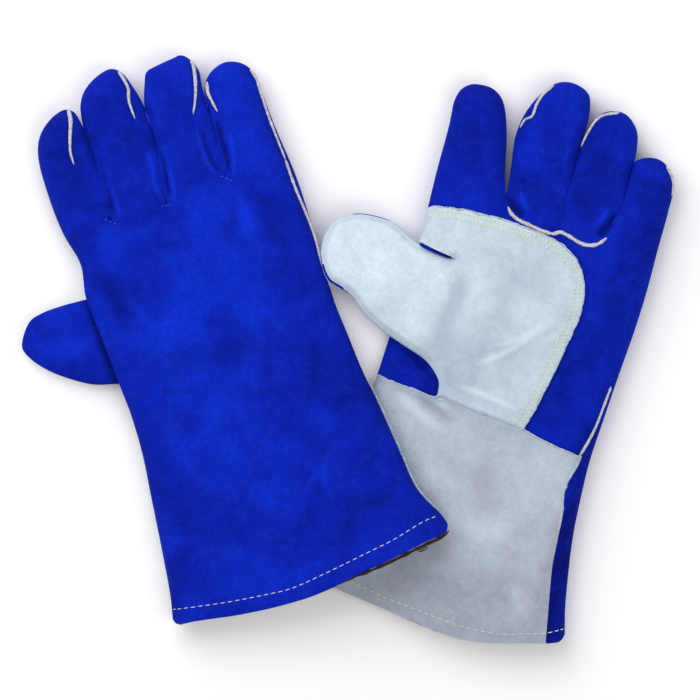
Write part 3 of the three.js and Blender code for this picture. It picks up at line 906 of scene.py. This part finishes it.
def canvas():
    """The gauntlet's lining: a plain weave of threads 1 mm apart."""
    n = Nodes("canvas")
    weaves = []
    for direction in ("X", "Y"):
        wave = n.add("ShaderNodeTexWave", bands_direction=direction)
        n.fill(wave, Scale=0.3125, Distortion=0.6, Vector=n.place())
        weaves.append(wave.outputs["Fac"])
    weave = n.maths("MULTIPLY", *weaves)
    colour = n.mix(n.noise(20), srgb(196, 182, 152), srgb(168, 150, 118))
    colour = n.mix(n.ramp(weave, [(0.0, 0.5), (0.4, 0.0)]), colour, srgb(112, 98, 74))
    n.fill(n.shader, Base_Color=colour, Normal=n.bump(weave, 0.5, 0.3), Roughness=0.95)
    return n.material


BLUE = suede(
    "blue_split_leather",
    srgb(2, 13, 106), srgb(5, 31, 166), srgb(9, 48, 208),
    sheen=0.03, tint=srgb(40, 80, 255),
)
GREY = suede(
    "grey_split_leather",
    srgb(160, 174, 190), srgb(188, 203, 216), srgb(216, 229, 238),
    sheen=0.04, tint=srgb(225, 235, 255), speck=0.3,
)
CUFF_GREY = suede(
    "grey_gauntlet_leather",
    srgb(148, 153, 168), srgb(174, 184, 198), srgb(196, 209, 220),
    sheen=0.04, tint=srgb(220, 228, 250), speck=0.35,
)
WELT = fibre("welt_strip", srgb(206, 206, 208), srgb(152, 150, 150), 1.6, 0.4)
BLUE_EDGE = fibre("blue_cut_edge", srgb(46, 42, 70), srgb(40, 24, 14), 1.2, 0.3)
GREY_EDGE = fibre("grey_cut_edge", srgb(196, 192, 184), srgb(150, 140, 128), 1.2, 0.3)
BROWN_EDGE = fibre("brown_cut_edge", srgb(60, 35, 27), srgb(20, 12, 10), 1.2, 0.3)
RAW_EDGE = fibre("raw_leather_edge", srgb(188, 199, 212), srgb(134, 146, 164), 1.1, 0.3)
FLEECE = fibre("cotton_fleece", srgb(232, 226, 212), srgb(196, 188, 170), 2.2, 0.6)
CREAM_THREAD = fibre("cream_thread", srgb(228, 229, 220), srgb(182, 180, 168), 0.7, 0.2)
YELLOW_THREAD = fibre("yellow_thread", srgb(232, 240, 184), srgb(206, 214, 150), 0.7, 0.2)
BLUE_THREAD = fibre("blue_thread", srgb(90, 116, 196), srgb(50, 72, 160), 0.7, 0.2)
DARK_THREAD = fibre("dark_thread", srgb(96, 84, 112), srgb(60, 50, 76), 0.7, 0.2)
CANVAS = canvas()

# Each stuff is the materials of its faces and of its cut edge, and its slot in the record.
BLUE_LEATHER = ([BLUE, BLUE_EDGE], "blue_split_leather")
GREY_LEATHER = ([GREY, GREY_EDGE], "grey_split_leather")
CUFF_LEATHER = ([CUFF_GREY, GREY_EDGE], "grey_split_leather")
FLEECE_CLOTH = ([FLEECE, FLEECE], "cotton_fleece")
CANVAS_CLOTH = ([CANVAS, CANVAS], "canvas")


# --- Pieces -----------------------------------------------------------------------------

def finish_piece(obj, glove, digit, replaced):
    """Hides the frame's parts that a piece replaces and puts a piece of the hand on the hand's body; a
    digit's piece is on no body.
    """
    for node in replaced:
        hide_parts(f"{glove.side}_{node}")
    hand = f"{glove.side}_hand"
    if digit is None:
        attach(obj, hand)
    else:
        start, end = glove.world(THUMB_BEND if digit == "thumb" else FINGER_BEND)
        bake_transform(obj)


def leather_piece(glove, name, body, stuff, digit, *replaced):
    """A leather or a lining, in a stuff: its materials, and their slot in the record, which is not used."""
    materials, slot = stuff
    obj = leather_object(f"{glove.side}_{name}", glove, body, materials)
    finish_piece(obj, glove, digit, replaced)


def lining(sheet, chosen):
    """The chosen part of the lining under a sheet."""
    return thick(sheet.raised(-LINING_DEPTH), chosen, LINING)


def thread_piece(glove, name, parts, material, digit, slot, *replaced):
    """A piece made of sweeps: a welt, a cut edge or a row of stitches."""
    points, faces = join(parts)
    faces = faces if glove.palm_up else [face[::-1] for face in faces]
    obj = to_object(f"{glove.side}_{name}", glove, points, faces, [material])
    finish_piece(obj, glove, digit, replaced)


def make_hand_sheets(glove):
    """The back and the palm, which share one flat mesh and meet along the seams."""
    lines = [
        resample([(-100, FINGER_CUT), (100, FINGER_CUT)], MESH_STEP),
        curve(WRIST_SEAM),
        curve(WRAP_SEAM),
        curve(SIDE_SEAM),
        resample([(-85, CUFF_LENGTH), (85, CUFF_LENGTH)], MESH_STEP),
    ]
    lines = [line[inside(glove.loop, line)] for line in lines]
    flat, faces = plan_mesh(glove.loop, lines)
    sheets = {}
    for face in ("palm", "back"):
        height, creases = glove.hand_height(flat, face)
        turned = faces if face == "palm" else faces[:, ::-1]
        tone = np.column_stack([creases, glove.wear_and_shading(flat, face)])
        sheets[face] = Sheet(glove, np.column_stack([flat, height]), turned, tone)
    return sheets


def finger_of(glove, centres):
    """For each place, the number of the finger it is on, or -1 on the hand."""
    u, v = centres[:, 0], centres[:, 1]
    number = sum((u > crotch[0]).astype(int) for crotch in glove.crotches)
    number[v <= FINGER_CUT] = -1
    # A finger can lean past the line straight up from its crotch, so its own outline decides.
    for k in range(4):
        arch = glove.stretches[k]
        arch = arch[arch[:, 1] > FINGER_CUT - 8]
        polygon = np.vstack([arch, [[arch[-1][0], FINGER_CUT - 9], [arch[0][0], FINGER_CUT - 9]]])
        number[(v > FINGER_CUT) & inside(polygon, centres[:, :2])] = k
    return number


def gauntlet_places(centres):
    """Which places are on the grey gauntlet's front, and which on the blue strip that wraps round it."""
    plan = centres[:, :2]
    # The far corners of each outline are outside the glove.
    wrist, wrap, seam = curve(WRIST_SEAM), curve(WRAP_SEAM), curve(SIDE_SEAM)
    below = inside(np.vstack([wrist, [(65.6, -60), (-140, -60), (-140, 135)]]), plan)
    below |= inside(np.vstack([wrap, [(40, CUFF_LENGTH), (40, -60), (78, -60)]]), plan)
    wrapped = inside(np.vstack([wrap, seam, [(140, 176), (140, -60), (78, -60)]]), plan)
    return below & ~wrapped, wrapped


def make_cuff(glove, palm):
    """The gauntlet's front, which lies on the palm and is rolled over at the wrist."""
    flat = palm.points[:, :2]
    gap = distance_to(curve(WRIST_SEAM), flat)[0]
    roll = (1.5 if glove.palm_up else 0.5) * np.exp(-((gap / 3.2) ** 2))
    return palm.raised((CUFF_RISE + roll) * smooth(glove.seam_distance(flat) / 5))


def build_hand(glove):
    """The blue leathers of the hand and the fingers, the gauntlet's front, and their linings."""
    sheets = make_hand_sheets(glove)
    palm, back = sheets["palm"], sheets["back"]
    sheets["cuff"] = make_cuff(glove, palm)
    number = finger_of(glove, palm.centres)
    on_hand = number < 0
    on_gauntlet, wrapped = gauntlet_places(palm.centres)

    def leather(name, sheet, chosen, digit, *replaced):
        leather_piece(glove, name, thick(sheet, chosen, LEATHER), BLUE_LEATHER, digit, *replaced)

    leather("back_hand", back, on_hand, None, "back_leather")
    leather("back_wrap", palm, on_hand & wrapped, None)
    leather("palm_hand", palm, on_hand & ~on_gauntlet & ~wrapped, None, "palm_leather")
    gauntlet = thick(sheets["cuff"], on_hand & on_gauntlet, LEATHER + CUFF_RISE)
    leather_piece(glove, "gauntlet", gauntlet, CUFF_LEATHER, None, "gauntlet_front")
    for k, name in enumerate(FINGERS):
        leather(f"{name}_back_leather", back, number == k, name, f"{name}_back")
        leather(f"{name}_front_leather", palm, number == k, name, f"{name}_front")

    inner = glove.seam_distance(palm.centres[:, :2]) > SEAM_ALLOWANCE
    in_cuff = palm.centres[:, 1] < CUFF_LENGTH
    layers = {
        "cuff_lining": (on_hand & in_cuff, CANVAS_CLOTH, None),
        "hand_lining": (on_hand & ~in_cuff, FLEECE_CLOTH, None),
    }
    for k, name in enumerate(FINGERS):
        layers[f"{name}_lining"] = (number == k, FLEECE_CLOTH, name)
    for name, (chosen, stuff, digit) in layers.items():
        body = merge([lining(sheet, chosen & inner) for sheet in (palm, back)])
        leather_piece(glove, name + "_cloth", body, stuff, digit, name)
    return sheets


def make_front(glove):
    """The palm's reinforcement and the thumb's front, one leather, and the line that parts them."""
    thumb = glove.thumb
    edge = curve(PATCH_EDGE)
    hand_edge = glove.stretches[0]
    hand_edge = hand_edge[(hand_edge[:, 1] < 244) & (hand_edge[:, 1] > 223)][::-1]
    loop = np.vstack([thumb[:-1], curve(HEEL)[:-1], edge[:-1], hand_edge, curve(LIP)[:-1]])
    cut = resample([(THUMB_CUT, 146), (THUMB_CUT, 217.6)], MESH_STEP)
    cut = cut[inside(loop, cut)]
    flat, faces = plan_mesh(loop, [cut])
    u, v = flat[:, 0], flat[:, 1]

    # The flap is the corner beyond the slit, which lies on the hand.
    gap, around = distance_to(thumb, flat)
    beyond = v > np.interp(u, *zip(*SLIT))
    on_flap = beyond & (inside(glove.loop, flat) | (distance_to(hand_edge, flat)[0] < 0.5))
    thumb_share = smooth((-34 - u) / 22) * ~on_flap

    # The reinforcement lies on the palm and dips at its seam with the thumb's back. The thumb's front
    # swells, with a ridge of turned leather along the seam.
    lying, creases = glove.hand_height(flat, "palm", margin=False)
    tuck = np.where(on_flap, 0, (1 - smooth(gap / 7)) * 3 * smooth((-39 - u) / 8))
    pucker = glove.pucker(flat, [edge, thumb], 5.0, 0.35)
    creases += pucker
    lying += pucker
    relief = creases + glove.slack(flat, 3.1)
    ridge = 0.9 * np.exp(-(((gap - 5) / 1.2) ** 2)) - 0.4 * np.exp(-(((gap - 2.6) / 1.2) ** 2))
    ridge *= smooth(around / 0.12) * smooth((0.92 - around) / 0.1)
    swollen = THUMB_SEAM_H + THUMB_REACH * pillow(gap, 13) + (0.6 * relief + ridge) * smooth(gap / 3)
    height = (lying + PATCH_RISE - tuck) * (1 - thumb_share) + swollen * thumb_share
    tone = np.column_stack([creases + ridge * thumb_share, glove.wear_and_shading(flat, "palm")])
    return Sheet(glove, np.column_stack([flat, height]), faces, tone), cut


def make_thumb_back(glove, front, cut):
    """The thumb's back, which goes on under the reinforcement as a gusset."""
    thumb = glove.thumb
    closing = resample([thumb[-1], (-38, 175), thumb[0]], MESH_STEP)
    flat, faces = plan_mesh(np.vstack([thumb[:-1], closing[:-1]]), [cut])
    gap = distance_to(thumb, flat)[0]
    slack = glove.slack(flat, 6.3) * smooth(gap / 8)
    height = THUMB_SEAM_H - THUMB_REACH * pillow(gap, 15) - (0 if glove.palm_up else 0.5) * slack
    # At the heel it stays under the reinforcement.
    heel = (flat[:, 0] > -52) & (flat[:, 1] < 170)
    cover = front.along(flat[heel])[0][:, 2] - 1.8 * smooth((flat[heel, 0] + 52) / 10)
    height[heel] = np.minimum(height[heel], cover)
    tone = np.column_stack([0.4 * slack, glove.wear_and_shading(flat, "thumb")])
    return Sheet(glove, np.column_stack([flat, height]), faces[:, ::-1], tone)


def build_thumb(glove):
    """The reinforcement of the palm, and the thumb with its lining. Gives the reinforcement's sheet."""
    front, cut = make_front(glove)
    under = make_thumb_back(glove, front, cut)
    plan = front.centres[:, :2]
    gap, around = distance_to(glove.thumb, plan)
    on_thumb = (plan[:, 0] < THUMB_CUT) & inside(np.vstack([glove.thumb, [(-33, 217.2)]]), plan)
    turned = on_thumb & glove.palm_up & (gap < np.interp(around, *zip(*BACK_SHOWS)))
    on_back = under.centres[:, 0] < THUMB_CUT
    well_inside = distance_to(glove.thumb, under.centres[:, :2])[0] > SEAM_ALLOWANCE

    patch = thick(front, ~on_thumb, LEATHER)
    leather_piece(glove, "patch", patch, GREY_LEATHER, None, "palm_patch")
    thumb_front = thick(front, on_thumb & ~turned, LEATHER)
    leather_piece(glove, "thumb_front_leather", thumb_front, GREY_LEATHER, "thumb", "thumb_front")
    thumb_back = thick(under, on_back, LEATHER)
    if turned.any():
        thumb_back = merge([thumb_back, thick(front, turned, LEATHER)])
    leather_piece(glove, "thumb_back_leather", thumb_back, BLUE_LEATHER, "thumb", "thumb_back")
    leather_piece(glove, "thumb_gusset", thick(under, ~on_back, LEATHER), BLUE_LEATHER, None)
    cloth = merge([lining(front, on_thumb & (gap > SEAM_ALLOWANCE)), lining(under, on_back & well_inside)])
    leather_piece(glove, "thumb_lining_cloth", cloth, FLEECE_CLOTH, "thumb", "thumb_lining")
    return front


def build_welts(glove, surface):
    """The strips sewn into the seams: under the edge all round, and on top in places."""
    top = surface["palm" if glove.palm_up else "back"]
    first, last = glove.stretches[0], glove.stretches[3]
    edges = {
        "thumb_side": first[first[:, 1] < FINGER_CUT],
        "index": first[first[:, 1] > FINGER_CUT - 1],
        "middle": glove.stretches[1],
        "ring": glove.stretches[2],
        "little": last[last[:, 1] > FINGER_CUT - 1],
        "little_side": last[last[:, 1] < FINGER_CUT],
        "thumb": glove.thumb[14:-6],  # not in the crotch or at the heel
    }
    for number, (name, edge) in enumerate(edges.items()):
        digit = name if name in FINGERS or name == "thumb" else None
        line, side = glove.seam_line(edge, 0.9 if name == "thumb" else -0.9, 2.5)
        if name == "thumb":
            line[:, 2] = THUMB_SEAM_H - (2.2 if glove.palm_up else -2.2)
        parts = [sweep(line, side, 1.5, 1.6, 6, wobble=0.3, seed=number)]
        for shown in TOP_WELTS[glove.side].get(name, []):
            line, out = top.along(curve(shown, WELT_STEP), 0.15)
            width = np.linspace(1.2, 3.2, len(line)) if digit else 2.2
            parts.append(sweep(line, out, width, 1.7, wobble=0.4, seed=number + 20))
        thread_piece(glove, f"{name}_strip", parts, WELT, digit, "welt_strip", f"{name}_welt")
    line, out = surface["palm"].along(curve(BASE_SEAM, WELT_STEP), 0.2)
    strip = sweep(line, out, 2.5, 1.9, wobble=0.45, seed=40, taper=4)
    thread_piece(glove, "base_strip", [strip], WELT, None, "welt_strip", "base_welt")


def bar_tack(surface, crotch, slant):
    """Three short stitches across the end of the cut between two fingers."""
    parts = []
    for across in (-2.4, 0.0, 2.4):
        u, v = crotch[0] + across, crotch[1] + slant * across
        line, out = surface.along(resample([(u - 0.7, v - 1.6), (u + 0.7, v - 1.9)], 0.35), 0.25)
        parts.append(sweep(line, out, TACK_THREAD, TACK_THREAD, 6, taper=2))
    return parts


def build_stitching(glove, surface):
    """The row along the hem on both faces, the double row round the reinforcement, and the bar tacks."""
    rows = []
    for face, rise in (("palm", CUFF_RISE + 0.05), ("back", 0.0)):
        path = curve(HEM_STITCH[glove.side], 0.8)
        line, out = surface[face].along(path, rise - glove.press(face))
        rows.append(stitches(line, out, pitch=4.9, length=3.5, thread=0.62))
    thread = YELLOW_THREAD if glove.palm_up else CREAM_THREAD
    thread_piece(glove, "hem_stitches", rows, thread, None, "welt_strip")

    rows = []
    for inset in (2.8, 6.6):
        path = offset_line(curve(PATCH_EDGE, 1.0), -inset)
        line, out = surface["front"].along(path, -glove.press("palm"))
        rows.append(stitches(line, out, pitch=3.0, length=2.2, thread=1.35))
    thread_piece(glove, "patch_stitches", rows, YELLOW_THREAD, None, "welt_strip")

    tacks = [bar_tack(surface["back"], *tack) for tack in zip(glove.crotches, (-0.9, -0.1, -0.9))]
    thread_piece(glove, "bar_tacks", sum(tacks, []), BLUE_THREAD, None, "welt_strip")
    if glove.palm_up:
        ends = [surface["cuff"].along(curve(line, 0.5), 0.3) for line in LOOSE_THREAD]
        rows = [sweep(line, out, TACK_THREAD, TACK_THREAD, 6, taper=2) for line, out in ends]
        thread_piece(glove, "loose_thread", rows, DARK_THREAD, None, "welt_strip")


def build_raw_edges(glove, surface):
    """The ragged cut edges of the reinforcement and of the gauntlet's front."""
    press = glove.press("palm")
    edge = curve(PATCH_EDGE, EDGE_STEP)[:-2]
    line, out = surface["front"].along(edge, -0.15 - press)
    raw = sweep(line, out, 1.2, 1.1, 6, wobble=0.8, seed=3)
    thread_piece(glove, "patch_edge", [raw], RAW_EDGE, None, "grey_split_leather")

    wrist = curve(WRIST_SEAM, EDGE_STEP)
    wrist = wrist[(wrist[:, 0] > -66) & (wrist[:, 0] < 62)]
    line, out = surface["cuff"].along(wrist, 0.1 - press)
    raw = [sweep(line, out, 1.3, 1.3, 6, wobble=0.9, seed=5)]
    wrap = offset_line(curve(WRAP_SEAM, EDGE_STEP), -0.5)
    wrap = wrap[(wrap[:, 1] > 66) & (wrap[:, 1] < 116)]
    line, out = surface["cuff"].along(wrap, -0.2 - press)
    raw.append(sweep(line, out, 1.7, 1.1, 6, wobble=0.8, seed=7))
    thread_piece(glove, "gauntlet_edge", raw, RAW_EDGE, None, "grey_split_leather")


def build_slit_fold(glove):
    """The turned blue leather that shows in the slit beside the thumb."""
    slit = curve(SLIT_FOLD, EDGE_STEP)
    width = np.linspace(2.4, 1.0, len(slit))
    fold = sweep(slit, np.tile([0.0, 0.0, 1.0], (len(slit), 1)), width, 2.0)
    thread_piece(glove, "slit_fold", [fold], BLUE, None, "blue_split_leather")


def build_hem_edge(glove, surface):
    """The brown cut edge of the leather, which peeps out from under the hem in places."""
    hem = glove.stretches[4][2:-1]
    across = hem[:, 0]
    if glove.palm_up:
        peeps = 0.15 * np.exp(-(((across + 4) / 16) ** 2))
    else:
        peeps = smooth((across - 2) / 45)
    _, side = glove.seam_line(hem, 0, 0)
    over, _ = surface["palm" if glove.palm_up else "back"].along(hem)
    line = over + glove.side_down * 1.8 + side * (-1.2 + 2.7 * peeps)[:, None]
    brown = sweep(line, side, 2.2, 2.0, 6, wobble=0.6, seed=9)
    thread_piece(glove, "hem_cut_edge", [brown], BROWN_EDGE, None, "blue_split_leather")


def build_gauntlet_side(glove):
    """The ragged grey edge beside the upper gauntlet."""
    edge = glove.stretches[3]
    edge = edge[(edge[:, 1] < 108) & (edge[:, 1] > 14)]
    line, side = glove.seam_line(edge, 0.7, 2.0)
    ragged = sweep(line, side, 1.4, 1.3, 6, wobble=1.5, seed=11)
    thread_piece(glove, "gauntlet_side_edge", [ragged], RAW_EDGE, None, "grey_split_leather")


def build_glove(glove):
    """All the pieces of a glove."""
    surface = build_hand(glove)
    surface["front"] = build_thumb(glove)
    build_welts(glove, surface)
    build_stitching(glove, surface)
    build_raw_edges(glove, surface)
    build_slit_fold(glove)
    build_hem_edge(glove, surface)
    if not glove.palm_up:
        build_gauntlet_side(glove)


# --- Floor, light and camera ------------------------------------------------------------

def build_stage():
    """The pale floor."""
    mesh = bpy.data.meshes.new("floor")
    mesh.from_pydata([(-4, -4, 0), (4, -4, 0), (4, 4, 0), (-4, 4, 0)], [], [(0, 1, 2, 3)])
    n = Nodes("floor")
    n.fill(n.shader, Base_Color=(0.9, 0.9, 0.91, 1), Roughness=0.8)
    mesh.materials.append(n.material)
    floor = bpy.data.objects.new("floor", mesh)
    floor.location.z = -0.0005
    bpy.context.scene.collection.objects.link(floor)


def build_light():
    """White surroundings, a big soft key light and a weaker one from the other side."""
    world = bpy.data.worlds.new("studio")
    world.use_nodes = True
    background = world.node_tree.nodes["Background"]
    background.inputs["Color"].default_value = (1, 1, 1, 1)
    background.inputs["Strength"].default_value = 0.5
    bpy.context.scene.world = world
    for name, place, size, power in (
        ("key", (-0.7, 0.85, 1.15), 1.7, 21.6),
        ("fill", (0.7, -0.7, 1.4), 1.4, 10),
    ):
        light = bpy.data.lights.new(name, "AREA")
        light.size = size
        light.energy = power
        lamp = bpy.data.objects.new(name, light)
        lamp.location = place
        lamp.rotation_euler = (-Vector(place)).to_track_quat("-Z", "Y").to_euler()
        bpy.context.scene.collection.objects.link(lamp)


def build_camera():
    """Straight above the pair, with a long lens, so that the pair nearly fills the frame."""
    low, high = cad_box
    camera = bpy.data.cameras.new("camera")
    camera.lens = 300
    camera.sensor_width = 36
    obj = bpy.data.objects.new("camera", camera)
    middle = (low + high) / 2
    obj.location = (
        middle.x + FRAME_SHIFT[0],
        middle.y + FRAME_SHIFT[1],
        0.015 + FRAME_WIDTH / camera.sensor_width * camera.lens,
    )
    bpy.context.scene.collection.objects.link(obj)
    bpy.context.scene.camera = obj


for side in ("left", "right"):
    build_glove(Glove(side))
build_stage()
build_light()
build_camera()
bpy.context.scene.view_settings.view_transform = "Standard"
